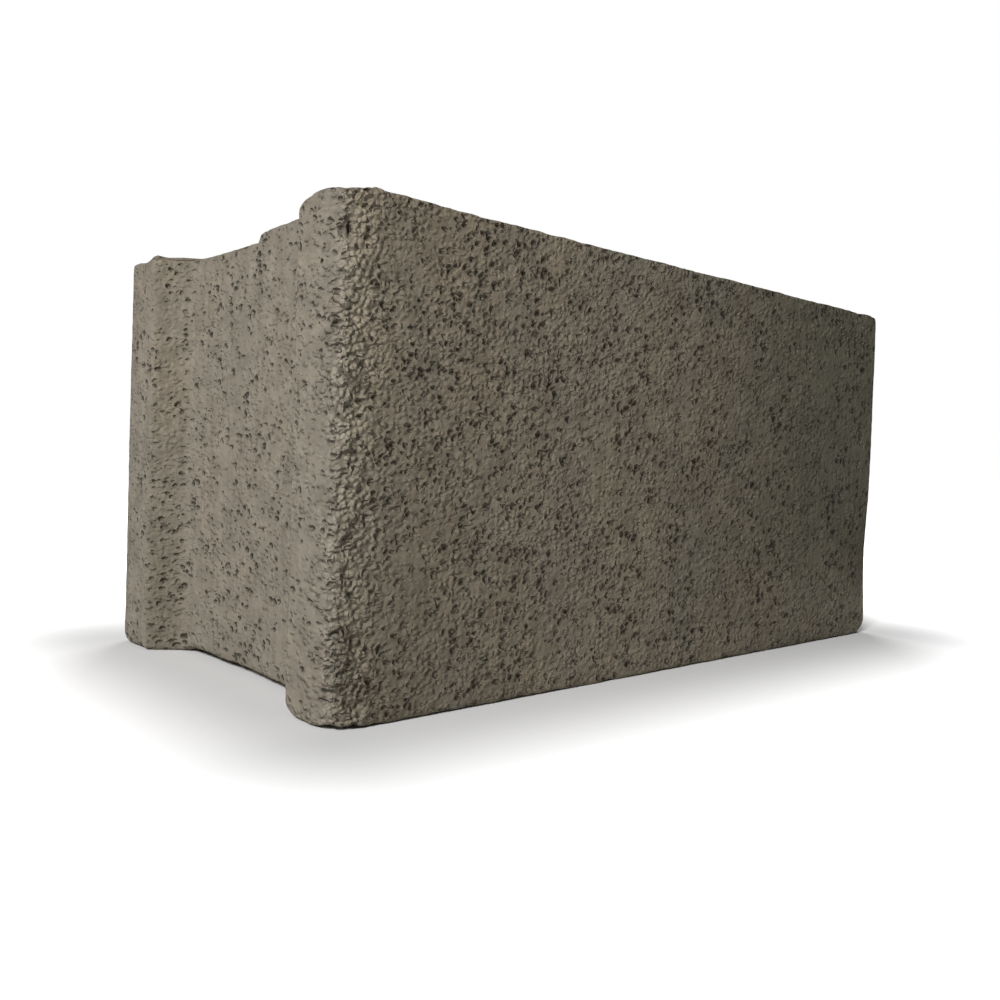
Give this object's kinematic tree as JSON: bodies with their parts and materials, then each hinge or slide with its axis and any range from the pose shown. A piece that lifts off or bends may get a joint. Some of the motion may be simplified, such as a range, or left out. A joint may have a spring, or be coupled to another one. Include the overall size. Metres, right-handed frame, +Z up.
{
  "type": "hollow concrete block",
  "caption": "Hollow concrete masonry block with tapered through-cores and recessed, eared ends, laid in mortar to build walls.",
  "frame": {"origin": "middle of the bottom bed face, on the cross web", "axes": "+X along the length, +Y across the width, +Z up through the cores"},
  "size_m": [0.39, 0.19, 0.19],
  "materials": {
    "concrete": "rough, porous dry-cast concrete"
  },
  "bodies": {
    "root": {"block": "concrete"}
  },
  "joints": []
}
